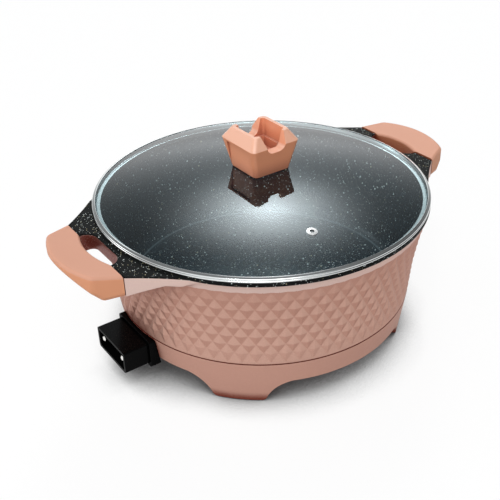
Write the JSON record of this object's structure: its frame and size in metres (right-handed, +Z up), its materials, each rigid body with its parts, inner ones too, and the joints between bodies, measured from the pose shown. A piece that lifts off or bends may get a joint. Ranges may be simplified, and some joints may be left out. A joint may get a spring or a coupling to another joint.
{
  "type": "multicooker",
  "caption": "Electric multicooker: wide cast pot with faceted wall, side grips, footed base ring with appliance inlet, and a lift-off glass lid with a square knob.",
  "frame": {"origin": "on the table under the pot's axis, at the level of the foot pads' undersides", "axes": "+Z up along the pot's axis; X along the two handles, with the appliance inlet on -X; -Y is the front"},
  "size_m": [0.425, 0.32, 0.207],
  "materials": {
    "pot_body": "metallic rose coat outside with a speckled dark non-stick coat inside and on the rim",
    "element_tube": "heat-stained steel sheath",
    "contact_metal": "nickel plated, polished",
    "ceramic_white": "unglazed",
    "inlet_black": "gloss",
    "screw_steel": "zinc plated",
    "skirt_pink": "fine-grained metallic rose",
    "foot_rubber": "matt",
    "cover_sheet": "galvanised",
    "insulation_board": "fibrous",
    "reflector_sheet": "bright rolled",
    "phenolic_washer": "matt",
    "grip_pink": "soft satin",
    "lid_glass": "clear tempered",
    "rim_band": "polished",
    "insert_brass": "turned",
    "seal_rubber": "matt silicone"
  },
  "bodies": {
    "pot": {"pot_casting": "pot_body", "heating_element": "element_tube", "terminal_pin_left": "contact_metal", "terminal_pin_right": "contact_metal", "terminal_insulator_left": "ceramic_white", "terminal_insulator_right": "ceramic_white", "probe_sleeve": "contact_metal", "socket_shroud": "inlet_black", "socket_bezel": "inlet_black", "socket_screws": "screw_steel", "base_skirt": "skirt_pink", "foot_pad_back_right": "foot_rubber", "foot_pad_back_left": "foot_rubber", "foot_pad_front_left": "foot_rubber", "foot_pad_front_right": "foot_rubber", "base_cover": "cover_sheet", "insulation_pad": "insulation_board", "reflector_plate": "reflector_sheet", "spacer_washers": "phenolic_washer", "base_screws": "screw_steel", "cover_screws": "screw_steel", "grip_right": "grip_pink", "grip_left": "grip_pink", "grip_screws": "screw_steel"},
    "lid": {"lid_glass": "lid_glass", "lid_rim_band": "rim_band", "vent_eyelet": "rim_band", "lid_knob": "grip_pink", "knob_insert": "insert_brass", "knob_gasket": "seal_rubber", "under_washer": "seal_rubber", "knob_washer": "screw_steel", "knob_screw": "screw_steel"}
  },
  "joints": [
    {"name": "lid_lift", "type": "slide", "parent": "pot", "child": "lid", "axis": [0, 0, 1], "range_m": [0, 0.12]}
  ]
}
